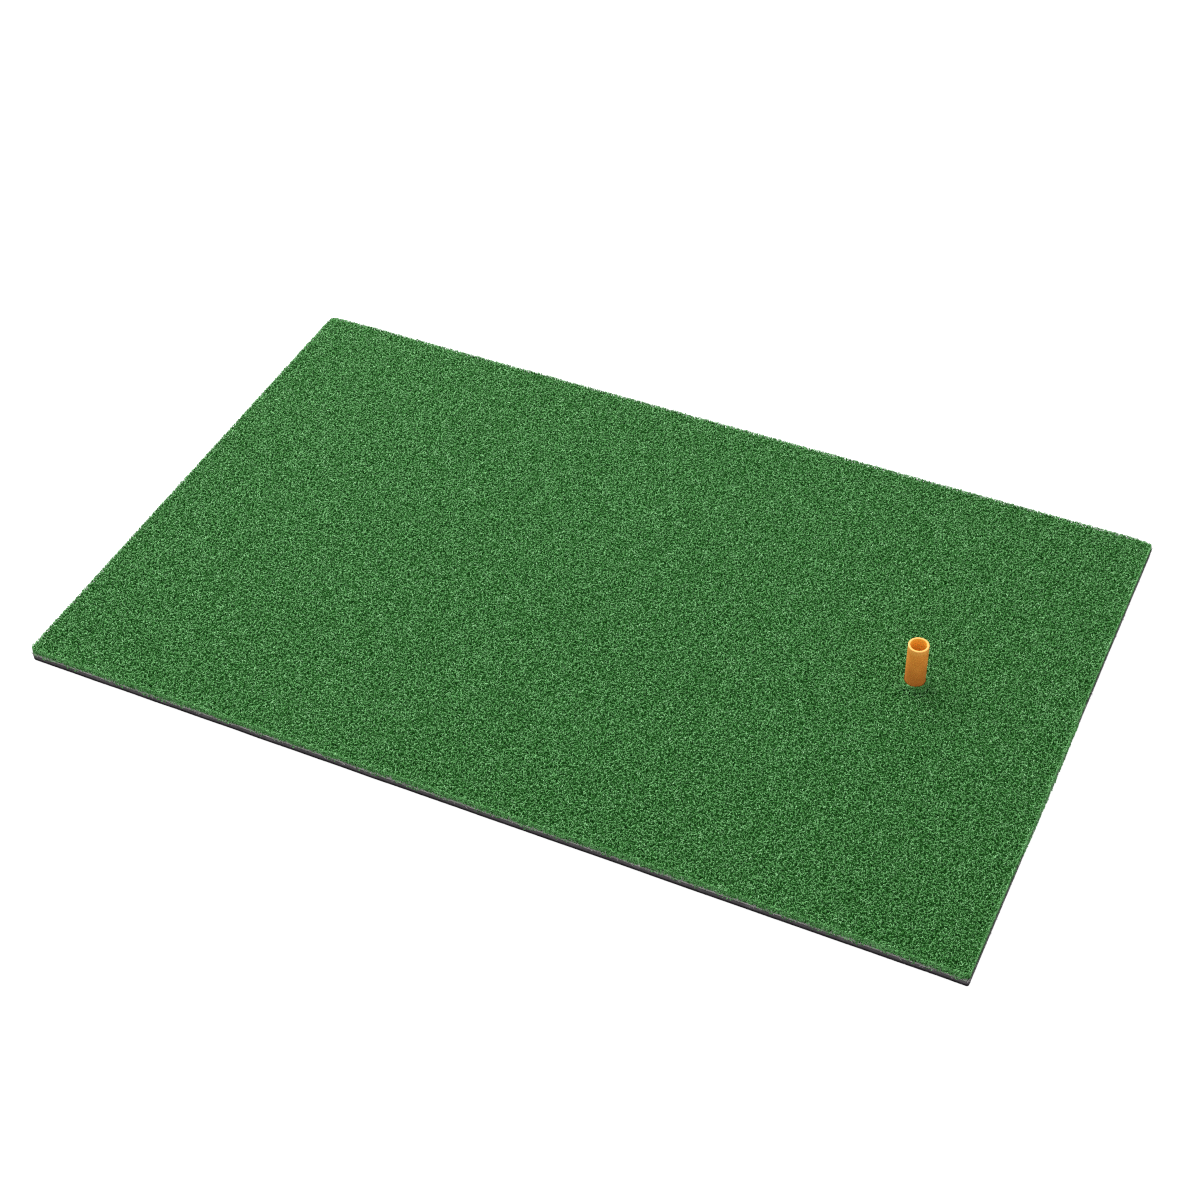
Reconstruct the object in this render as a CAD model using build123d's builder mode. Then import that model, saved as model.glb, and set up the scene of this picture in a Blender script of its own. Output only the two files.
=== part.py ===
from build123d import *
import os

# Golf hitting mat: a foam slab with tufted turf bonded on top, and one hollow rubber tee that stands
# through a round hole near the +X end. The origin is the centre of the underside, +X runs along the
# length towards the tee, and +Z is up. Units are millimetres.

# Panel
MAT_LENGTH = 1000.0
MAT_WIDTH = 615.0
CORNER_RADIUS = 2.0

# Thickness of each layer, from the floor up
FOAM_THICKNESS = 7.0
BOND_THICKNESS = 0.3
LATEX_THICKNESS = 0.9
BACKING_THICKNESS = 0.6
PILE_HEIGHT = 8.7

# Tee
TEE_X = 338.0  # from the middle of the mat
TEE_Y = 11.0
TEE_HEIGHT = 70.0
TEE_RADIUS = 10.5
TEE_WALL = 2.2
TEE_CLEARANCE = 0.3  # between the tee and the mat, all round
FLANGE_RADIUS = 23.0
FLANGE_THICKNESS = 3.0
FLANGE_ROUND = 1.0
FLANGE_FILLET = 0.8  # where the flange meets the tube
RIM_OUTER_ROUND = 0.6
RIM_INNER_ROUND = 0.4
FOOT_HEIGHT = 12.0  # the foot stays in the mat when the tee bends
NECK_TOP = 40.0  # the neck bends, and the tube above it stays straight

# Heights of the layers
FOAM_TOP = FOAM_THICKNESS
BOND_TOP = FOAM_TOP + BOND_THICKNESS
LATEX_TOP = BOND_TOP + LATEX_THICKNESS
BACKING_TOP = LATEX_TOP + BACKING_THICKNESS

BORE_RADIUS = TEE_RADIUS - TEE_WALL
HOLE_RADIUS = TEE_RADIUS + TEE_CLEARANCE
RECESS_RADIUS = FLANGE_RADIUS + TEE_CLEARANCE
RECESS_DEPTH = FLANGE_THICKNESS + TEE_CLEARANCE
HOLE_CHAMFER = FLANGE_FILLET + TEE_CLEARANCE  # clears the fillet above the flange


def panel(height):
    """The mat's outline with the tee hole, as a sketch at a height."""
    with BuildSketch(Plane.XY.offset(height)) as outline:
        RectangleRounded(MAT_LENGTH, MAT_WIDTH, CORNER_RADIUS)
        with Locations((TEE_X, TEE_Y)):
            Circle(HOLE_RADIUS, mode=Mode.SUBTRACT)
    return outline.sketch


def tee_ring(height):
    """The tee tube's cross-section, as a sketch at a height."""
    with BuildSketch(Plane.XY.offset(height)) as ring:
        with Locations((TEE_X, TEE_Y)):
            Circle(TEE_RADIUS)
            Circle(BORE_RADIUS, mode=Mode.SUBTRACT)
    return ring.sketch


# Foam base, with a recess in its underside for the tee's flange
with BuildPart() as foam_base:
    extrude(panel(0), amount=FOAM_THICKNESS)
    with BuildSketch(Plane.XY):
        with Locations((TEE_X, TEE_Y)):
            Circle(RECESS_RADIUS)
    extrude(amount=RECESS_DEPTH, mode=Mode.SUBTRACT)
    recess_ceiling = foam_base.faces().filter_by(Axis.Z).sort_by(Axis.Z)[1]
    chamfer(recess_ceiling.inner_wires().edges(), HOLE_CHAMFER)

# Film of adhesive between the foam and the turf
with BuildPart() as bond_layer:
    extrude(panel(FOAM_TOP), amount=BOND_THICKNESS)

# Latex compound that locks the tufts from below
with BuildPart() as latex_coat:
    extrude(panel(BOND_TOP), amount=LATEX_THICKNESS)

# Woven cloth that the pile is tufted through
with BuildPart() as primary_backing:
    extrude(panel(LATEX_TOP), amount=BACKING_THICKNESS)

# Curled pile, as the space that its fibres fill
with BuildPart() as turf_pile:
    extrude(panel(BACKING_TOP), amount=PILE_HEIGHT)

# Foot of the tee: the flange under the mat and the start of the tube
with BuildPart() as tee_foot:
    with BuildSketch(Plane.XY):
        with Locations((TEE_X, TEE_Y)):
            Circle(FLANGE_RADIUS)
            Circle(BORE_RADIUS, mode=Mode.SUBTRACT)
    extrude(amount=FLANGE_THICKNESS)
    fillet(tee_foot.faces().sort_by(Axis.Z)[-1].outer_wire().edges(), FLANGE_ROUND)
    extrude(tee_ring(0), amount=FOOT_HEIGHT)
    flange_root = tee_foot.edges().filter_by(GeomType.CIRCLE).filter_by(
        lambda edge: abs(edge.radius - TEE_RADIUS) < TEE_CLEARANCE
    )
    fillet(flange_root.sort_by(Axis.Z)[0], FLANGE_FILLET)

# Neck of the tee: the stretch of tube that bends when the tee is struck
with BuildPart() as tee_neck:
    extrude(tee_ring(FOOT_HEIGHT), amount=NECK_TOP - FOOT_HEIGHT)

# Upper tube of the tee, with the rounded rim that the ball rests on
with BuildPart() as tee_tube:
    extrude(tee_ring(NECK_TOP), amount=TEE_HEIGHT - NECK_TOP)
    rim = tee_tube.faces().sort_by(Axis.Z)[-1]
    fillet(rim.outer_wire().edges(), RIM_OUTER_ROUND)
    rim = tee_tube.faces().sort_by(Axis.Z)[-1]
    fillet(rim.inner_wires().edges(), RIM_INNER_ROUND)

os.makedirs("parts", exist_ok=True)

foam_base.part.label = "foam_base"
export_step(foam_base.part, "parts/foam_base.step")
bond_layer.part.label = "bond_layer"
export_step(bond_layer.part, "parts/bond_layer.step")
latex_coat.part.label = "latex_coat"
export_step(latex_coat.part, "parts/latex_coat.step")
primary_backing.part.label = "primary_backing"
export_step(primary_backing.part, "parts/primary_backing.step")
turf_pile.part.label = "turf_pile"
export_step(turf_pile.part, "parts/turf_pile.step")
tee_foot.part.label = "tee_foot"
export_step(tee_foot.part, "parts/tee_foot.step")
tee_neck.part.label = "tee_neck"
export_step(tee_neck.part, "parts/tee_neck.step")
tee_tube.part.label = "tee_tube"
export_step(tee_tube.part, "parts/tee_tube.step")
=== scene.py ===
import math

import bpy
import numpy as np
from mathutils import Matrix, Vector


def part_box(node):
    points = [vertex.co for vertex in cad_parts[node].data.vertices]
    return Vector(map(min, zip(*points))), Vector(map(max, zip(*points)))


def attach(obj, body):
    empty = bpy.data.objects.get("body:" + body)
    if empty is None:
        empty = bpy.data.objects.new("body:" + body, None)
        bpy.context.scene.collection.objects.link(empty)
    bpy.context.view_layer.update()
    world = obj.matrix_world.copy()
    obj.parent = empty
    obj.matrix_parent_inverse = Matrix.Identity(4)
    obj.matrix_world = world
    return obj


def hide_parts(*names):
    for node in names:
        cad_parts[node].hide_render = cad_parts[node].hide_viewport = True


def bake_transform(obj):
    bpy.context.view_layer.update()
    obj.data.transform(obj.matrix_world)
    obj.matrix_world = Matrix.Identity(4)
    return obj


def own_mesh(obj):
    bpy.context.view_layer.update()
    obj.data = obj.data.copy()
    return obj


# The golf hitting mat's looks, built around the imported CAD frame, in metres.

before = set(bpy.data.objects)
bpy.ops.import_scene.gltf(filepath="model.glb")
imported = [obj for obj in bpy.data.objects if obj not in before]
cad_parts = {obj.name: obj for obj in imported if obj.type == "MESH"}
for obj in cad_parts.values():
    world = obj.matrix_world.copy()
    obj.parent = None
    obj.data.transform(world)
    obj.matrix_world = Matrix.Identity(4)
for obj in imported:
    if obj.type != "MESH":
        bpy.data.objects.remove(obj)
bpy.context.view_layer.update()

MM = 0.001
rng = np.random.default_rng(7)

# ---------------------------------------------------------------- places, read from the frame

foam_low, foam_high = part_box("foam_base")
latex_low, latex_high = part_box("latex_coat")
backing_low, backing_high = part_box("primary_backing")
pile_low, pile_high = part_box("turf_pile")
foot_low, foot_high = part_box("tee_foot")
tube_low, tube_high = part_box("tee_tube")

HALF_X = (foam_high.x - foam_low.x) / 2
HALF_Y = (foam_high.y - foam_low.y) / 2
CORNER = 2 * MM  # the radius of the mat's corners
TEE_X = (tube_low.x + tube_high.x) / 2
TEE_Y = (tube_low.y + tube_high.y) / 2
TEE_MIDDLE = np.array((TEE_X, TEE_Y))
TEE_RADIUS = (tube_high.x - tube_low.x) / 2
TEE_WALL = 2.2 * MM
TEE_TOP = tube_high.z
TEE_GAP = 0.3 * MM  # between the tee and the mat, all round
HOLE_RADIUS = TEE_RADIUS + TEE_GAP
FLANGE_RADIUS = (foot_high.x - foot_low.x) / 2
FLANGE_TOP = 3 * MM


# ---------------------------------------------------------------- camera, light and floor

def place_camera():
    """The camera, aimed at a point near the mat's middle, with a slight roll."""
    azimuth, elevation, roll = math.radians(26.08), math.radians(43.87), math.radians(-1.53)
    distance = 2.314
    target = Vector((-0.0056, 0.0074, 0.0))
    back = Vector((
        math.sin(azimuth) * math.cos(elevation),
        -math.cos(azimuth) * math.cos(elevation),
        math.sin(elevation),
    ))
    level = Vector((math.cos(azimuth), math.sin(azimuth), 0.0))
    right = math.cos(roll) * level + math.sin(roll) * back.cross(level)
    up = back.cross(right)
    data = bpy.data.cameras.new("camera")
    data.sensor_width = 36.0
    data.lens = 66.31
    camera = bpy.data.objects.new("camera", data)
    axes = Matrix((right, up, back)).transposed().to_4x4()
    camera.matrix_world = Matrix.Translation(target + back * distance) @ axes
    bpy.context.scene.collection.objects.link(camera)
    bpy.context.scene.camera = camera


def area_light(name, place, size, power):
    """A square soft box that faces the mat."""
    data = bpy.data.lights.new(name, "AREA")
    data.shape = "SQUARE"
    data.size = size
    data.energy = power
    light = bpy.data.objects.new(name, data)
    light.location = place
    light.rotation_euler = (-Vector(place)).to_track_quat("-Z", "Y").to_euler()
    bpy.context.scene.collection.objects.link(light)


def light_studio():
    """White light from all round, and one large soft box behind the mat's left end."""
    scene = bpy.context.scene
    world = bpy.data.worlds.new("studio")
    scene.world = world
    world.use_nodes = True
    background = world.node_tree.nodes["Background"]
    background.inputs["Color"].default_value = (1.0, 1.0, 1.0, 1.0)
    background.inputs["Strength"].default_value = 0.96
    area_light("key_light", (-1.6, 1.1, 1.45), 2.6, 90.0)
    scene.view_settings.view_transform = "Standard"
    scene.cycles.use_denoising = False  # a denoiser smears fibres that are a pixel wide
    scene.cycles.filter_width = 1.2


def lay_floor():
    """A plain white floor just under the mat."""
    mesh = bpy.data.meshes.new("floor")
    half, gap = 20.0, 0.2 * MM
    corners = [(-half, -half, 0), (half, -half, 0), (half, half, 0), (-half, half, 0)]
    mesh.from_pydata(corners, [], [(0, 1, 2, 3)])
    floor = bpy.data.objects.new("floor", mesh)
    floor.location.z = foam_low.z - gap
    bpy.context.scene.collection.objects.link(floor)
    material, tree, shader = new_material("floor", (0.30, 0.30, 0.30), 0.9)
    shader.inputs["Emission Color"].default_value = (1.0, 1.0, 1.0, 1.0)
    shader.inputs["Emission Strength"].default_value = 0.85
    mesh.materials.append(material)


# ---------------------------------------------------------------- material helpers

def new_material(name, colour, roughness):
    """A material of one colour and roughness, with its node tree and its shader."""
    material = bpy.data.materials.new(name)
    material.use_nodes = True
    shader = material.node_tree.nodes["Principled BSDF"]
    shader.inputs["Base Color"].default_value = (*colour, 1.0)
    shader.inputs["Roughness"].default_value = roughness
    return material, material.node_tree, shader


def add_node(tree, kind, **values):
    """A node with its settings and its inputs' values. An input takes a number or another node's output."""
    node = tree.nodes.new("ShaderNode" + kind)
    for name, value in values.items():
        socket = node.inputs.get(name.replace("_", " "))
        if socket is None:
            setattr(node, name, value)
        elif isinstance(value, bpy.types.NodeSocket):
            tree.links.new(value, socket)
        else:
            socket.default_value = value
    return node


def grain(tree, size, detail=2.0):
    """Noise over the object's own coordinates, with patches of about the given size."""
    place = add_node(tree, "TexCoord").outputs["Object"]
    return add_node(tree, "TexNoise", Vector=place, Scale=1 / size, Detail=detail).outputs["Fac"]


def cells(tree, size):
    """Distance from the middle of round cells of about the given size."""
    place = add_node(tree, "TexCoord").outputs["Object"]
    return add_node(tree, "TexVoronoi", Vector=place, Scale=1 / size).outputs["Distance"]


def colour_ramp(tree, factor, stops):
    """A colour for each stop's place along the factor."""
    node = add_node(tree, "ValToRGB", Fac=factor)
    elements = node.color_ramp.elements
    while len(elements) < len(stops):
        elements.new(0.5)
    for element, (place, colour) in zip(elements, stops):
        element.position = place
        element.color = (*colour, 1.0)
    return node.outputs["Color"]


def mixed(tree, factor, first, second):
    """Two colours mixed by a factor."""
    return add_node(tree, "Mix", data_type="RGBA", Factor=factor, A=first, B=second).outputs["Result"]


def summed(tree, first, second, share):
    """The first value plus a share of the second."""
    node = add_node(tree, "Math", operation="MULTIPLY_ADD")
    tree.links.new(second, node.inputs[0])
    node.inputs[1].default_value = share
    tree.links.new(first, node.inputs[2])
    return node.outputs[0]


def spread(tree, factor, low, high, start=0.0, end=1.0):
    """The factor's range from start to end moved to low to high, and held beyond it."""
    node = add_node(
        tree, "MapRange", Value=factor, From_Min=start, From_Max=end, To_Min=low, To_Max=high
    )
    return node.outputs["Result"]


def height_of(tree):
    """Height in the object's own frame."""
    place = add_node(tree, "TexCoord").outputs["Object"]
    return add_node(tree, "SeparateXYZ", Vector=place).outputs["Z"]


def shaded_right_edge(tree, colour):
    """The colour, blackened along the mat's right edge as painted shade."""
    place = add_node(tree, "TexCoord").outputs["Object"]
    along = add_node(tree, "SeparateXYZ", Vector=place).outputs["X"]
    share = spread(tree, along, 0, 0.85, HALF_X - 3.0 * MM, HALF_X - 1.6 * MM)
    return mixed(tree, share, colour, (0.012, 0.012, 0.011, 1.0))


def relief(tree, shader, height, depth):
    """Bump of the given depth in metres."""
    bump = add_node(tree, "Bump", Height=height, Distance=depth, Strength=1.0)
    tree.links.new(bump.outputs["Normal"], shader.inputs["Normal"])


# ---------------------------------------------------------------- materials

def foam_material():
    """Closed-cell foam: dark grey, with fine cells and lighter patches, and painted contact shade that
    blackens it along the floor.
    """
    material, tree, shader = new_material("dark_foam", (0.05, 0.045, 0.05), 0.85)
    patches = colour_ramp(tree, grain(tree, 9 * MM, 4), [
        (0.30, (0.030, 0.027, 0.030)),
        (0.55, (0.060, 0.054, 0.059)),
        (0.75, (0.115, 0.104, 0.113)),
    ])
    pores = colour_ramp(tree, cells(tree, 0.8 * MM), [
        (0.0, (0.012, 0.011, 0.012)),
        (0.35, (0.060, 0.054, 0.059)),
        (0.8, (0.095, 0.086, 0.094)),
    ])
    body = mixed(tree, 0.5, patches, pores)
    # painted contact shade: the foam is blacker in its lowest few millimetres, along the floor
    contact_shade = colour_ramp(tree, grain(tree, 4 * MM, 3), [
        (0.3, (0.004, 0.003, 0.004)),
        (0.7, (0.014, 0.012, 0.014)),
    ])
    contact_shade_top, body_from = foam_low.z + 2.2 * MM, foam_low.z + 4.4 * MM
    tint = mixed(tree, spread(tree, height_of(tree), 0, 1, contact_shade_top, body_from), contact_shade, body)
    tree.links.new(tint, shader.inputs["Base Color"])
    tree.links.new(spread(tree, grain(tree, 3 * MM), 0.75, 0.95), shader.inputs["Roughness"])
    relief(tree, shader, summed(tree, cells(tree, 0.8 * MM), grain(tree, 2.5 * MM), 0.6), 0.25 * MM)
    shader.inputs["Specular IOR Level"].default_value = 0.05
    return material


def glue_material():
    """Hot-melt film: dull, smoky and slightly glossy."""
    material, tree, shader = new_material("hot_melt_glue", (0.16, 0.15, 0.14), 0.5)
    tint = colour_ramp(tree, grain(tree, 6 * MM, 4), [
        (0.3, (0.09, 0.085, 0.08)),
        (0.7, (0.22, 0.21, 0.19)),
    ])
    tree.links.new(tint, shader.inputs["Base Color"])
    tree.links.new(spread(tree, grain(tree, 2 * MM), 0.35, 0.65), shader.inputs["Roughness"])
    relief(tree, shader, grain(tree, 1.5 * MM, 3), 0.15 * MM)
    return material


def latex_material():
    """Filled latex: chalky pale grey with darker smears, and painted shade that blackens it along the mat's
    right edge.
    """
    material, tree, shader = new_material("latex_compound", (0.42, 0.42, 0.40), 0.8)
    tint = colour_ramp(tree, grain(tree, 5 * MM, 5), [
        (0.30, (0.13, 0.14, 0.12)),
        (0.50, (0.29, 0.30, 0.28)),
        (0.70, (0.43, 0.44, 0.42)),
    ])
    # painted shade blackens the latex along the right edge
    tree.links.new(shaded_right_edge(tree, tint), shader.inputs["Base Color"])
    tree.links.new(spread(tree, grain(tree, 1 * MM), 0.65, 0.9), shader.inputs["Roughness"])
    relief(tree, shader, grain(tree, 0.8 * MM, 4), 0.2 * MM)
    return material


def cloth_material():
    """Plain-woven slit-film backing: flat tapes over and under each other at right angles."""
    material, tree, shader = new_material("woven_backing", (0.38, 0.38, 0.36), 0.6)
    place = add_node(tree, "TexCoord").outputs["Object"]
    tape = 1.2 * MM
    scale = 0.314 / tape  # a wave of scale 1 repeats every 0.314 m
    across = add_node(tree, "TexWave", Vector=place, Scale=scale, bands_direction="X").outputs["Fac"]
    along = add_node(tree, "TexWave", Vector=place, Scale=scale, bands_direction="Y").outputs["Fac"]
    over = add_node(tree, "TexChecker", Vector=place, Scale=1 / tape).outputs["Fac"]
    height = add_node(tree, "Mix", Factor=over, A=across, B=along).outputs["Result"]
    threads = colour_ramp(tree, height, [(0.0, (0.12, 0.12, 0.11)), (0.6, (0.34, 0.34, 0.32))])
    stains = colour_ramp(tree, grain(tree, 7 * MM, 4), [
        (0.35, (0.18, 0.19, 0.17)),
        (0.65, (0.42, 0.43, 0.41)),
    ])
    # painted shade blackens the cloth along the right edge
    tree.links.new(shaded_right_edge(tree, mixed(tree, 0.5, threads, stains)), shader.inputs["Base Color"])
    tree.links.new(spread(tree, height, 0.75, 0.5), shader.inputs["Roughness"])
    relief(tree, shader, height, 0.2 * MM)
    return material


def thatch_material():
    """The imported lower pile: deep green yarn with darker pits between the tufts."""
    material, tree, shader = new_material("thatch", (0.004, 0.10, 0.003), 0.9)
    shader.inputs["Specular IOR Level"].default_value = 0.1
    tint = colour_ramp(tree, grain(tree, 0.7 * MM, 4), [
        (0.36, (0.007, 0.060, 0.006)),
        (0.52, (0.022, 0.145, 0.018)),
        (0.66, (0.070, 0.300, 0.060)),
    ])
    tree.links.new(tint, shader.inputs["Base Color"])
    tree.links.new(spread(tree, grain(tree, 2 * MM), 0.8, 1.0), shader.inputs["Roughness"])
    relief(tree, shader, grain(tree, 0.7 * MM, 4), 0.8 * MM)
    return material


def rubber_material():
    """Moulded orange rubber: mottled and satin, with a painted highlight that pales it towards the top and
    along the rim, and painted shade that darkens it low down in the pile.
    """
    material, tree, shader = new_material("orange_rubber", (0.86, 0.33, 0.03), 0.45)
    fresh = colour_ramp(tree, grain(tree, 14 * MM, 4), [
        (0.30, (0.70, 0.225, 0.026)),
        (0.55, (0.78, 0.265, 0.034)),
        (0.75, (0.85, 0.315, 0.046)),
    ])
    # painted shade: darker low down, where the tube stands in the pile
    painted_low_shade = colour_ramp(tree, grain(tree, 10 * MM, 4), [
        (0.30, (0.44, 0.110, 0.014)),
        (0.70, (0.54, 0.150, 0.020)),
    ])
    # painted highlight: paler towards the top of the tube and along the rim
    painted_rim_highlight = colour_ramp(tree, grain(tree, 5 * MM, 4), [
        (0.30, (0.93, 0.45, 0.09)),
        (0.70, (0.97, 0.53, 0.13)),
    ])
    height = height_of(tree)
    body = mixed(tree, spread(tree, height, 0, 1, pile_high.z, pile_high.z + 40 * MM), painted_low_shade, fresh)
    highlighted_top = mixed(tree, spread(tree, height, 0, 0.3, TEE_TOP - 8 * MM, TEE_TOP - 2 * MM), body, painted_rim_highlight)
    tint = mixed(tree, spread(tree, height, 0, 1, TEE_TOP - 0.7 * MM, TEE_TOP - 0.1 * MM), highlighted_top, painted_rim_highlight)
    tree.links.new(tint, shader.inputs["Base Color"])
    tree.links.new(spread(tree, grain(tree, 3 * MM, 4), 0.36, 0.56), shader.inputs["Roughness"])
    relief(tree, shader, summed(tree, grain(tree, 0.7 * MM, 3), grain(tree, 8 * MM), 1.5), 0.05 * MM)
    return material


def bore_material():
    """The tee's bore, which glows a lighter orange because light comes through the thin wall."""
    material, tree, shader = new_material("orange_rubber_bore", (0.95, 0.50, 0.10), 0.5)
    tint = colour_ramp(tree, grain(tree, 12 * MM, 4), [
        (0.30, (0.88, 0.430, 0.045)),
        (0.70, (0.94, 0.510, 0.065)),
    ])
    tree.links.new(tint, shader.inputs["Base Color"])
    tree.links.new(spread(tree, grain(tree, 3 * MM, 4), 0.42, 0.6), shader.inputs["Roughness"])
    relief(tree, shader, grain(tree, 0.7 * MM, 3), 0.04 * MM)
    return material


YARN_SHADES = 12


def yarn_materials(name, darkest, lightest, red, blue):
    """Yarn colours of the melange from the darkest to the lightest, by their green. Red and blue are each a
    (darkest, lightest) share of it. Fine ribs run over the yarn as relief."""
    shades = []
    for k in range(YARN_SHADES):
        share = k / (YARN_SHADES - 1)
        green = darkest * (lightest / darkest) ** share
        colour = (
            green * (red[0] + (red[1] - red[0]) * share),
            green,
            green * (blue[0] + (blue[1] - blue[0]) * share),
        )
        material, tree, shader = new_material(f"{name}_{k}", colour, 0.55)
        shader.inputs["Specular IOR Level"].default_value = 0.25
        rib = grain(tree, 0.35 * MM, 2)
        ribs = add_node(tree, "Displacement", Height=rib, Scale=0.12 * MM, Midlevel=0.5)
        output = tree.nodes["Material Output"]
        tree.links.new(ribs.outputs["Displacement"], output.inputs["Displacement"])
        shades.append(material)
    return shades


# ---------------------------------------------------------------- mesh helpers

def mesh_piece(name, points, faces, materials, slots=None):
    """An object from arrays of points and of faces with equal side counts, shaded smooth."""
    mesh = bpy.data.meshes.new(name)
    mesh.vertices.add(len(points))
    mesh.vertices.foreach_set("co", points.reshape(-1).astype(np.float32))
    mesh.loops.add(faces.size)
    mesh.loops.foreach_set("vertex_index", faces.reshape(-1).astype(np.int32))
    mesh.polygons.add(len(faces))
    starts = np.arange(0, faces.size, faces.shape[1], dtype=np.int32)
    mesh.polygons.foreach_set("loop_start", starts)
    if slots is not None:
        mesh.polygons.foreach_set("material_index", slots.astype(np.int32))
    mesh.update(calc_edges=True)
    mesh.polygons.foreach_set("use_smooth", np.ones(len(faces), bool))
    for material in materials:
        mesh.materials.append(material)
    piece = bpy.data.objects.new(name, mesh)
    bpy.context.scene.collection.objects.link(piece)
    return piece


def ring_piece(name, rings, material):
    """A closed piece lofted through rings of equal counts, the last one joined to the first again."""
    rings = np.array(rings)
    count, around = rings.shape[:2]
    i, j = np.meshgrid(np.arange(count), np.arange(around), indexing="ij")
    here, there = i * around, (i + 1) % count * around
    after = (j + 1) % around
    faces = np.stack([here + j, there + j, there + after, here + after], -1).reshape(-1, 4)
    return mesh_piece(name, rings.reshape(-1, 3), faces, [material])


def waves(x, y, seed, size, count=10):
    """Smooth noise over the mat, about -1 to 1, with patches of about the given size."""
    draw = np.random.default_rng(seed)
    total = np.zeros_like(x)
    for _ in range(count):
        angle = draw.uniform(0, 2 * math.pi)
        number = 2 * math.pi / (size * draw.uniform(0.7, 1.8))
        phase = draw.uniform(0, 2 * math.pi)
        total += np.sin((x * math.cos(angle) + y * math.sin(angle)) * number + phase)
    return total / math.sqrt(count)


def mat_outline(share):
    """Points round the mat's edge, each a share of the way round from the front left corner, and the way
    out at each."""
    run_x, run_y = 2 * (HALF_X - CORNER), 2 * (HALF_Y - CORNER)
    bend = CORNER * math.pi / 2
    knots = np.cumsum([0.0] + [run_x, bend, run_y, bend] * 2)
    right, back = HALF_X - CORNER, HALF_Y - CORNER
    way = share * knots[-1]
    x = np.interp(way, knots, [-right, right, right, right, right, -right, -right, -right, -right])
    y = np.interp(way, knots, [-back, -back, -back, back, back, back, back, -back, -back])
    angle = np.interp(way, knots, np.radians([-90, -90, 0, 0, 90, 90, 180, 180, 270]))
    out = np.stack([np.cos(angle), np.sin(angle)], 1)
    return np.stack([x, y], 1) + CORNER * out, out


# ---------------------------------------------------------------- the mat's flat layers

def layer(name, profile, ragged, seed, material, around=2000):
    """A flat layer with the tee's hole in it. The profile goes outwards over the top and back underneath:
    ("hole", radius, z) is round the tee, and ("edge", how far out from the mat's edge, z) is along the edge.
    The cut along the edge wanders, and is uneven by about ragged."""
    edge = mat_outline(np.arange(around) / around)[0]
    toward = edge - TEE_MIDDLE
    toward /= np.linalg.norm(toward, axis=1, keepdims=True)
    knife = 0.15 * MM * waves(edge[:, 0], edge[:, 1], 11, 0.07)
    rings = []
    for k, (kind, size, z) in enumerate(profile):
        if kind == "hole":
            flat = TEE_MIDDLE + toward * size
        else:
            fine = ragged * waves(edge[:, 0], edge[:, 1], seed + k, 0.004, 14)
            flat = edge * (1 + (size + knife + fine)[:, None] / (HALF_X, HALF_Y))
        rings.append(np.column_stack([flat, np.full(around, z)]))
    return ring_piece(name, rings, material)


def foam_pad():
    """The foam base, with the tee's hole and the recess for its flange, and its bottom edge pressed in."""
    recess_radius = FLANGE_RADIUS + TEE_GAP
    recess_top = foam_low.z + FLANGE_TOP + TEE_GAP
    top, low = foam_high.z, foam_low.z
    profile = [
        ("hole", HOLE_RADIUS, recess_top),
        ("hole", HOLE_RADIUS, top - 0.3 * MM),
        ("hole", HOLE_RADIUS + 0.3 * MM, top),
        ("hole", HOLE_RADIUS + 1.5 * MM, top),
        ("edge", -3.0 * MM, top),
        ("edge", -0.5 * MM, top),
        ("edge", 0.0, top - 0.4 * MM),
        ("edge", 0.10 * MM, top - 1.5 * MM),
        ("edge", 0.0, (top + low) / 2),
        ("edge", 0.05 * MM, low + 1.8 * MM),
        ("edge", 0.0, low + 0.8 * MM),
        ("edge", -0.15 * MM, low + 0.15 * MM),
        ("edge", -0.4 * MM, low),
        ("edge", -3.0 * MM, low),
        ("hole", recess_radius + 1.5 * MM, low),
        ("hole", recess_radius + 0.3 * MM, low),
        ("hole", recess_radius, low + 0.3 * MM),
        ("hole", recess_radius, recess_top - 0.3 * MM),
        ("hole", recess_radius - 0.3 * MM, recess_top),
        ("hole", HOLE_RADIUS + 1.0 * MM, recess_top),
    ]
    return layer("foam_pad", profile, 0.06 * MM, 40, foam_material())


def thatch_layer():
    """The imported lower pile. It stands higher behind the cut edge, where the knife has matted it."""
    low, high, top = pile_low.z, pile_low.z + 2.8 * MM, pile_high.z - 2.6 * MM
    profile = [
        ("hole", HOLE_RADIUS + 0.3 * MM, low),
        ("hole", HOLE_RADIUS + 0.3 * MM, high),
        ("hole", HOLE_RADIUS + 1.5 * MM, high),
        ("edge", -7.0 * MM, high),
        ("edge", -4.0 * MM, (high + top) / 2),
        ("edge", -2.6 * MM, top),
        ("edge", -1.9 * MM, top - 0.4 * MM),
        ("edge", -1.6 * MM, top - 1.5 * MM),
        ("edge", -1.6 * MM, low),
        ("edge", -3.0 * MM, low),
        ("hole", HOLE_RADIUS + 1.5 * MM, low),
    ]
    return layer("turf_thatch", profile, 0.25 * MM, 110, thatch_material())


def thin_layer(name, low, high, out, ragged, seed, material):
    """A coat or cloth of the turf, from low to high, that ends a distance out from the mat's edge."""
    soft = (high - low) * 0.3
    profile = [
        ("hole", HOLE_RADIUS, low + soft),
        ("hole", HOLE_RADIUS, high - soft),
        ("hole", HOLE_RADIUS + soft, high),
        ("hole", HOLE_RADIUS + 1.5 * MM, high),
        ("edge", out - 2.5 * MM, high),
        ("edge", out - soft, high),
        ("edge", out, high - soft),
        ("edge", out, low + soft),
        ("edge", out - soft, low),
        ("edge", out - 2.5 * MM, low),
        ("hole", HOLE_RADIUS + 1.5 * MM, low),
        ("hole", HOLE_RADIUS + soft, low),
    ]
    return layer(name, profile, ragged, seed, material)


# ---------------------------------------------------------------- fibres

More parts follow.
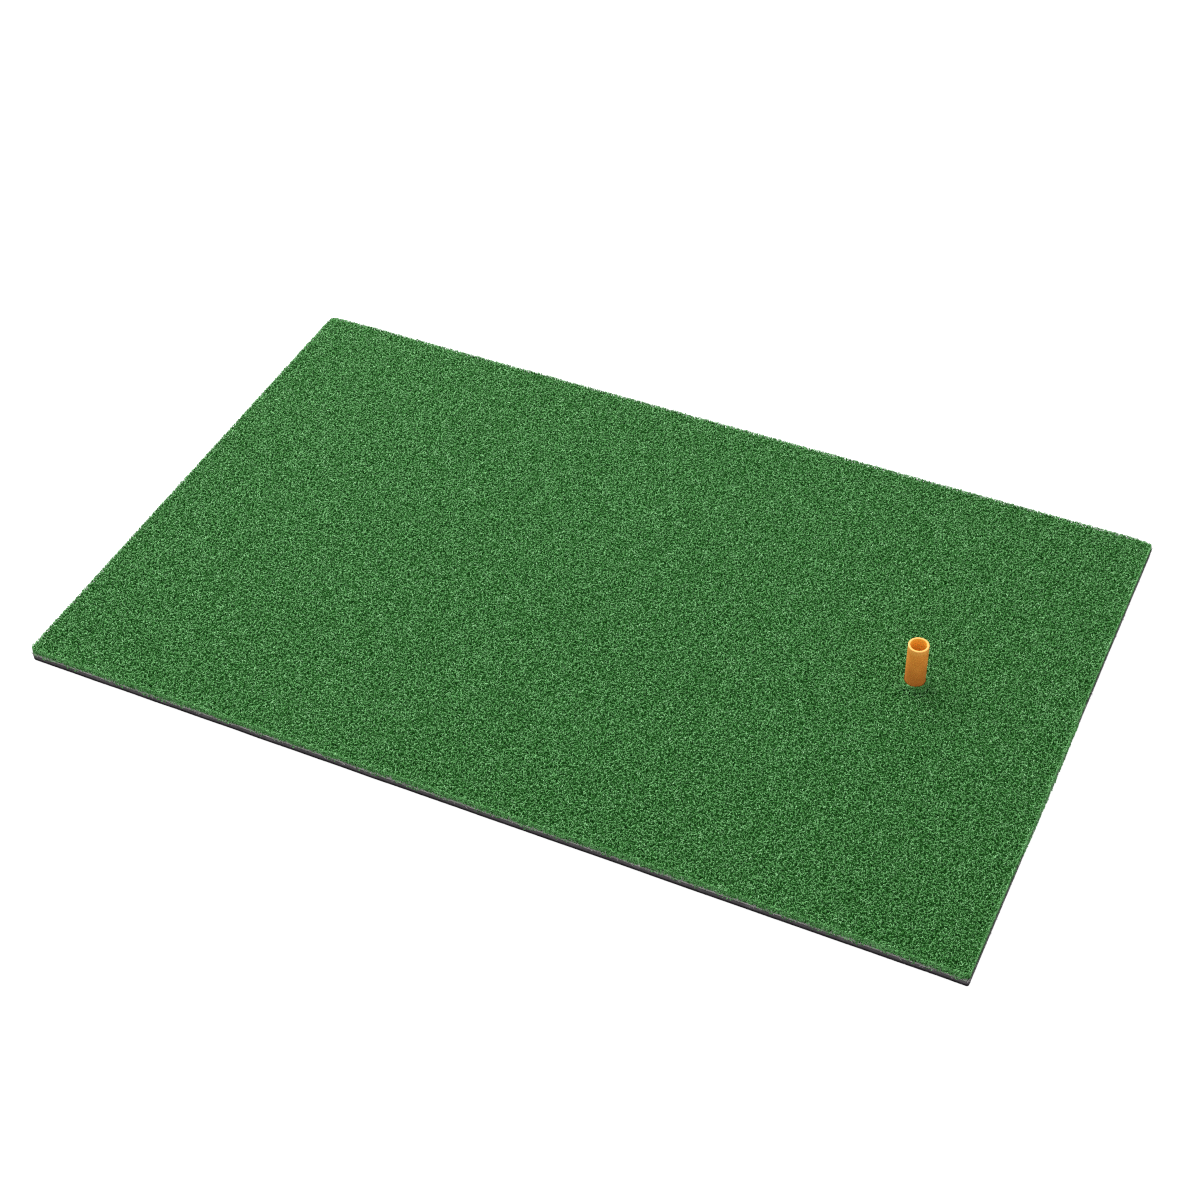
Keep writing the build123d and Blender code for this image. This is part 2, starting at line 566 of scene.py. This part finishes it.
CURL_RINGS = 6  # rings of three points, and then the tip
ROOT_PAINTED_SHADE, TIP_PAINTED_LIGHT = -3.0, 1.5  # shades added at a fibre's root and at its tip, as painted shade at the root and painted light at the tip
TUFT_PITCH = 2.55 * MM
TILES_X, TILES_Y = 6, 4
FIBRE_CLEARANCE = 0.55 * MM  # from the tee's hole
BARE_CORNER = 3 * MM  # the front right corner's tip has lost its tufts
WORN_CORNER = 6 * MM  # the pile is rounded off at the mat's corners
PRESSED_REACH, PRESSED_SHARE = 12 * MM, 0.25  # the pile is trodden down at the two back corners
BARE_STRIP = 0.9 * MM  # the right edge has lost its outermost row, except where the pile hangs over it
OVERHANG_Y, OVERHANG_HALF = -60 * MM, 90 * MM  # the middle of that stretch, and half its length
OVERHANG_FIBRES = 620
FRAY_ENDS = 6500

# The cut sides' rows from the top down, in millimetres: how far in from the edge the roots stand, how far out
# the curls reach, and the lowest and highest top above the floor.
EDGE_ROWS = (
    (1.2, 0.6, 16.0, 17.4),
    (1.0, 1.0, 14.2, 16.2),
    (0.8, 1.0, 12.0, 14.6),
    (0.6, 0.9, 10.0, 12.6),
)
EDGE_QUARTERS = 4
ROW_STEP = 1.05 * MM
HANGING_STEP = 1.0 * MM
HANGING_TOP = 10.6  # millimetres above the floor

# The collar's rings from the tee outwards: distance from the hole and height above the pile in millimetres,
# and how many fibres.
COLLAR_RINGS = (
    (0.4, 4.8, 120),
    (1.1, 3.8, 110),
    (2.0, 2.0, 100),
    (2.8, 0.5, 90),
)


def tuft_places(low_x, high_x, low_y, high_y):
    """Roots on a jittered triangular grid."""
    row = TUFT_PITCH * math.sqrt(3) / 2
    columns = int((high_x - low_x) / TUFT_PITCH)
    rows = int((high_y - low_y) / row)
    i, j = np.meshgrid(np.arange(columns), np.arange(rows), indexing="ij")
    x = low_x + (i + 0.25 + 0.5 * (j % 2)) * (high_x - low_x) / columns
    y = low_y + (j + 0.5) * (high_y - low_y) / rows
    jitter = 0.18 * TUFT_PITCH
    x = x.ravel() + rng.normal(0, jitter, x.size)
    y = y.ravel() + rng.normal(0, jitter, y.size)
    return x, y


def cut_at_edge(path, loose):
    """Holds the fibres within the mat's cut edge, give or take a fibre's width, and rounds the corners."""
    reach = np.array((HALF_X, HALF_Y)) + (loose + rng.uniform(-0.3, 0.5, (len(path), 1, 1))) * MM
    ragged_end = rng.normal(0, 15 * MM, (len(path), 1))
    bare = BARE_STRIP * (np.abs(path[..., 1] - OVERHANG_Y) > OVERHANG_HALF + ragged_end)
    flat = np.clip(path[..., :2], -reach, reach - np.stack([bare, 0 * bare], -1))
    past = np.abs(flat) - (reach - WORN_CORNER)
    far = np.linalg.norm(past, axis=-1, keepdims=True) + 1e-12
    beyond = (past > 0).all(-1, keepdims=True) & (far > WORN_CORNER)
    path[..., :2] = flat - np.sign(flat) * past * beyond * (1 - WORN_CORNER / far)
    return path


def curl_paths(root, base, middle, top, tilt=(0.2, 1.3)):
    """Each fibre's points: up from its root, and round in one open curl about its middle near the top."""
    n = len(root)
    t = np.linspace(0, 1, CURL_RINGS - 1)[None, :]
    phase = rng.uniform(0, 2 * math.pi, n)[:, None]
    turn = (rng.uniform(2.6, 5.2, n) * rng.choice((-1, 1), n))[:, None]
    radius = rng.uniform(0.8, 1.5, n)[:, None] * MM * (1 - 0.25 * t)
    lean = rng.uniform(*tilt, n)[:, None] * MM
    lean_angle = rng.uniform(0, 2 * math.pi, n)[:, None]
    angle = phase + turn * t
    curl = np.stack([
        middle[:, :1] + radius * np.cos(angle),
        middle[:, 1:] + radius * np.sin(angle),
        top[:, None] + lean * (np.sin(angle - lean_angle) - 1),
    ], 2)
    foot = np.column_stack([root, base])[:, None]
    knee = curl[:, :1] - (0, 0, 1.0 * MM)
    return np.concatenate([foot, knee, curl], 1)


def fibre_piece(name, path, width, twist, shade, materials):
    """Closed three-sided fibres that taper to a point. Their shade rises from the root to the tip, as painted
    shade at the root and painted light at the tip.
    """
    count, rings = len(path), path.shape[1] - 1
    along = np.gradient(path, axis=1)
    along /= np.linalg.norm(along, axis=2, keepdims=True) + 1e-12
    side = np.cross(along, np.array((0.0, 0.0, 1.0)))
    side /= np.linalg.norm(side, axis=2, keepdims=True) + 1e-9
    over = np.cross(side, along)
    turn = twist[:, None, None]
    face = np.cos(turn) * side + np.sin(turn) * over
    proud = -np.sin(turn) * side + np.cos(turn) * over
    taper = np.linspace(1.0, 0.75, rings + 1)[None, :, None]
    half = width[:, None, None] / 2 * taper
    ring = np.stack([path + face * half, path - face * half, path + proud * half * 0.7], axis=2)
    points = np.concatenate([ring[:, :rings].reshape(count, rings * 3, 3), path[:, rings:]], axis=1)
    per = rings * 3 + 1
    faces, stretch = [(0, 1, 2)], [0]
    for r in range(rings - 1):
        for a, b in ((0, 1), (1, 2), (2, 0)):
            low, high = r * 3, r * 3 + 3
            faces += [(low + b, low + a, high + a), (low + b, high + a, high + b)]
            stretch += [r, r]
    for a, b in ((0, 1), (1, 2), (2, 0)):
        last = (rings - 1) * 3
        faces.append((last + b, last + a, per - 1))
        stretch.append(rings - 1)
    faces, stretch = np.array(faces), np.array(stretch)
    triangles = (faces[None] + (np.arange(count) * per)[:, None, None]).reshape(-1, 3)
    # painted shade at the root, rising to painted light at the tip
    rise = np.linspace(ROOT_PAINTED_SHADE, TIP_PAINTED_LIGHT, rings)[stretch]
    slots = np.clip(np.round(shade[:, None] + rise[None, :]), 0, len(materials) - 1)
    return mesh_piece(name, points.reshape(-1, 3), triangles, materials, slots.reshape(-1))


def clear_of_tee(path):
    """Pushes the fibre points that would enter the tee's hole out to its edge."""
    flat = path[..., :2] - TEE_MIDDLE
    far = np.linalg.norm(flat, axis=-1, keepdims=True) + 1e-9
    path[..., :2] = TEE_MIDDLE + flat * np.maximum((HOLE_RADIUS + FIBRE_CLEARANCE) / far, 1.0)
    return path


def pressed_at_back(path):
    """Lowers the pile towards the two back corners, which have been trodden down."""
    gap = np.hypot(HALF_X - np.abs(path[..., 0]), HALF_Y - path[..., 1])
    above = np.maximum(path[..., 2] - pile_low.z, 0)
    path[..., 2] -= PRESSED_SHARE * above * np.exp(-gap / PRESSED_REACH)
    return path


def tufted_patches(x, y):
    """Where the pile is lighter and taller, in patches a few centimetres across."""
    return waves(x, y, 3, 0.028)


def lay_pile(name, path, shades, mean=6.5, loose=0.0):
    """One piece of the pile from its fibres' paths, which may stand out by loose, in millimetres."""
    n = len(path)
    shade = rng.normal(mean, 1.5, n) + 0.3 * tufted_patches(path[:, -1, 0], path[:, -1, 1])
    path = pressed_at_back(cut_at_edge(clear_of_tee(path), loose))
    width = rng.uniform(0.75, 1.15, n) * MM
    twist = rng.uniform(-0.7, 0.7, n)
    return fibre_piece(name, path, width, twist, shade, shades)


def grow_turf(shades):
    """The pile's broad top: tiles of curled fibres that stand in the dark thatch."""
    tile_x, tile_y = 2 * HALF_X / TILES_X, 2 * HALF_Y / TILES_Y
    pieces = []
    for i in range(TILES_X):
        for j in range(TILES_Y):
            low_x, low_y = -HALF_X + tile_x * i, -HALF_Y + tile_y * j
            x, y = tuft_places(low_x, low_x + tile_x, low_y, low_y + tile_y)
            keep = np.hypot(x - TEE_X, y - TEE_Y) > HOLE_RADIUS + 2.6 * MM
            keep &= (HALF_X - x) + (HALF_Y + y) > BARE_CORNER
            tops = np.column_stack([x, y])[keep]
            n = len(tops)
            taller = 0.15 * MM * tufted_patches(tops[:, 0], tops[:, 1])
            height = pile_high.z - 1.3 * MM * rng.random(n) ** 1.5 + taller
            base = np.full(n, pile_low.z + 2.0 * MM)
            root = tops + rng.normal(0, 0.3 * MM, (n, 2))
            path = curl_paths(root, base, tops, height)
            pieces.append(lay_pile(f"turf_fibres_{i}{j}", path, shades))
    return pieces


def places_along_edge(quarter, step):
    """Places along one quarter of the mat's edge, about a step apart, and the way out at each."""
    n = int(4 * (HALF_X + HALF_Y) / EDGE_QUARTERS / step)
    share = (quarter + (np.arange(n) + rng.uniform(0, 1, n)) / n) / EDGE_QUARTERS
    return mat_outline(share)


def row_paths(quarter, inset, reach, lowest, highest):
    """The fibres of one row of the cut side."""
    edge, out = places_along_edge(quarter, ROW_STEP)
    n = len(edge)
    root = edge - out * (inset * MM * rng.uniform(0.7, 1.3, n))[:, None]
    middle = edge + out * (reach * MM * rng.uniform(0.5, 1.0, n) - 0.5 * MM)[:, None]
    top = rng.uniform(lowest, highest, n) * MM
    return curl_paths(root, np.full(n, pile_low.z), middle, top, (0.5, 1.5))


def hanging_paths(quarter):
    """The fibres that hang over the backing, in some stretches of the edge."""
    edge, out = places_along_edge(quarter, HANGING_STEP)
    depth = waves(edge[:, 0], edge[:, 1], 21, 0.02)
    hanging = depth > 0.0
    edge, out, depth = edge[hanging], out[hanging], depth[hanging]
    n = len(edge)
    middle = edge + out * (rng.uniform(0.0, 0.5, n) * MM)[:, None]
    top = (HANGING_TOP - rng.uniform(0.0, 1.0, n) * (2.0 + 1.6 * depth)) * MM
    return curl_paths(edge - out * 0.4 * MM, top + 0.5 * MM, middle, top, (0.6, 1.8))


def grow_edges(shades):
    """The pile's cut sides, in a piece for each quarter. The front right corner's tip is bare."""
    pieces = []
    for quarter in range(EDGE_QUARTERS):
        paths = [row_paths(quarter, *row) for row in EDGE_ROWS]
        path = np.concatenate([*paths, hanging_paths(quarter)])
        path = path[(HALF_X - path[:, -1, 0]) + (HALF_Y + path[:, -1, 1]) > BARE_CORNER]
        # painted shade: the cut sides' yarn is darker on average than the top's
        pieces.append(lay_pile(f"turf_edge_{quarter}", path, shades, 6.2))
    return pieces


def grow_overhang(shades):
    """The fibres that hang over the foam along a stretch of the right edge, deepest in its middle."""
    n = OVERHANG_FIBRES
    share = rng.uniform(-1, 1, n)
    edge = np.column_stack([np.full(n, HALF_X), OVERHANG_Y + OVERHANG_HALF * share])
    middle = edge + np.column_stack([rng.uniform(0.2, 0.9, n) * MM, np.zeros(n)])
    top = (HANGING_TOP - rng.uniform(0.0, 6.2, n) * (1 - share ** 2)) * MM
    path = curl_paths(edge, top + 0.5 * MM, middle, top, (0.6, 1.8))
    # painted shade: the hanging yarn along the right edge is darker on average
    return lay_pile("turf_overhang", path, shades, 5.6, 0.7)


def grow_collar(shades):
    """The pile round the tee, which stands against the tube."""
    paths = []
    for distance, rise, count in COLLAR_RINGS:
        angle = (np.arange(count) + rng.uniform(0, 1, count)) / count * 2 * math.pi
        way = np.column_stack([np.cos(angle), np.sin(angle)])
        middle = TEE_MIDDLE + way * (HOLE_RADIUS + distance * MM)
        top = pile_high.z + (rise + rng.uniform(-1.0, 0.6, count)) * MM
        base = np.full(count, pile_low.z + 1.0 * MM)
        paths.append(curl_paths(middle, base, middle, top))
    # painted shade: the collar's yarn is darker on average, round the tee's foot
    return lay_pile("turf_collar", np.concatenate(paths), shades, 5.4)


def fray_backing():
    """Loose ends of the backing's tapes along the cut: pale wisps that stick out and droop over the foam."""
    n = FRAY_ENDS
    share = (np.arange(n) + rng.uniform(0, 1, n)) / n
    edge, out = mat_outline(share)
    along = np.column_stack([-out[:, 1], out[:, 0]])
    length = rng.gamma(2.5, 0.7, n).clip(0.6, 5.0) * MM
    droop = rng.uniform(-2.2, 0.8, n)
    drift = rng.normal(0, 0.7, n)
    points = []
    for t in np.linspace(0, 1, 5):
        reach = -0.4 * MM + (0.4 * MM + 0.35 * length) * np.sin(t * math.pi / 2)
        flat = edge + out * reach[:, None] + along * (drift * length * t ** 1.5)[:, None]
        z = backing_low.z + 0.4 * MM - droop * length * t ** 2
        points.append(np.column_stack([flat, z]))
    path = np.stack(points, 1)
    greys = yarn_materials("fray", 0.16, 0.62, red=(1.0, 0.98), blue=(0.94, 0.95))
    # painted shade: the wisps on the mat's right edge are five shades darker
    right_edge_in_shade = out[:, 0] > 0.7
    shade = rng.normal(6.6, 2.5, n) - 5 * right_edge_in_shade
    width = rng.uniform(0.3, 0.7, n) * MM
    twist = rng.uniform(-0.7, 0.7, n)
    return fibre_piece("backing_fray", path, width, twist, shade, greys)


# ---------------------------------------------------------------- the tee


def arc(middle_r, middle_z, radius, start, turn=90):
    """Points of a quarter circle in the tee's section, from the start angle, in degrees."""
    points = []
    for step in range(5):
        angle = math.radians(start + turn * step / 4)
        points.append((middle_r + radius * math.cos(angle), middle_z + radius * math.sin(angle)))
    return points


def tee_section():
    """The tee's section, from its bore's lower edge outwards and up, over the rim and back down inside."""
    bore = TEE_RADIUS - TEE_WALL
    low, flange_top = foot_low.z, foot_low.z + FLANGE_TOP
    flange_round, fillet, outer_round, inner_round = 1.0 * MM, 0.8 * MM, 0.6 * MM, 0.4 * MM
    levels = np.arange(low + 5 * MM, TEE_TOP - 1.2 * MM, 1.0 * MM)
    return [
        (bore, low + 0.4 * MM),
        (bore + 0.4 * MM, low),
        (bore + 1.5 * MM, low),
        *arc(FLANGE_RADIUS - flange_round, low + flange_round, flange_round, -90),
        *arc(FLANGE_RADIUS - flange_round, flange_top - flange_round, flange_round, 0),
        (TEE_RADIUS + fillet + 1.0 * MM, flange_top),
        *arc(TEE_RADIUS + fillet, flange_top + fillet, fillet, 270, -90),
        *[(TEE_RADIUS, z) for z in levels],
        *arc(TEE_RADIUS - outer_round, TEE_TOP - outer_round, outer_round, 0),
        *arc(bore + inner_round, TEE_TOP - inner_round, inner_round, 90),
        *[(bore, z) for z in levels[::-1]],
    ]


def make_tee():
    """The rubber tee, one moulding from its foot to its tube."""
    around = 96
    angle = np.arange(around) / around * 2 * math.pi
    way = np.column_stack([np.cos(angle), np.sin(angle)])
    rings = []
    for r, z in tee_section():
        rings.append(np.column_stack([TEE_MIDDLE + r * way, np.full(around, z)]))
    tee = ring_piece("rubber_tee", rings, rubber_material())
    tee.data.materials.append(bore_material())
    inside = TEE_RADIUS - TEE_WALL + 0.2 * MM
    for face in tee.data.polygons:
        if math.hypot(face.center.x - TEE_X, face.center.y - TEE_Y) < inside:
            face.material_index = 1
    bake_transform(tee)
    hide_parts("tee_foot", "tee_neck", "tee_tube")


# ---------------------------------------------------------------- assembly

def on_mat(piece, slot, *nodes):
    """The piece rides on the mat and stands for the CAD nodes, which it hides. The slot is not used."""
    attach(piece, "mat")
    if nodes:
        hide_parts(*nodes)
    return piece


place_camera()
light_studio()
lay_floor()

foam = on_mat(foam_pad(), "foam", "foam_base")

glue = bpy.data.objects["bond_layer"]
glue.data.materials.clear()
glue.data.materials.append(glue_material())

latex = thin_layer(
    "latex_film", latex_low.z, latex_high.z, -0.10 * MM, ragged=0.12 * MM, seed=70, material=latex_material()
)
on_mat(latex, "latex", "latex_coat")

cloth = thin_layer(
    "backing_cloth", backing_low.z, backing_high.z, 0.0, ragged=0.25 * MM, seed=90, material=cloth_material()
)
on_mat(cloth, "backing", "primary_backing")
fray = on_mat(fray_backing(), "backing")

yarns = yarn_materials("turf_yarn", 0.15, 0.78, red=(0.10, 0.49), blue=(0.07, 0.47))
collar = grow_collar(yarns)
pile = [thatch_layer(), *grow_turf(yarns), *grow_edges(yarns), grow_overhang(yarns), collar]
for piece in pile:
    on_mat(piece, "pile", "turf_pile")
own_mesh(collar)

make_tee()
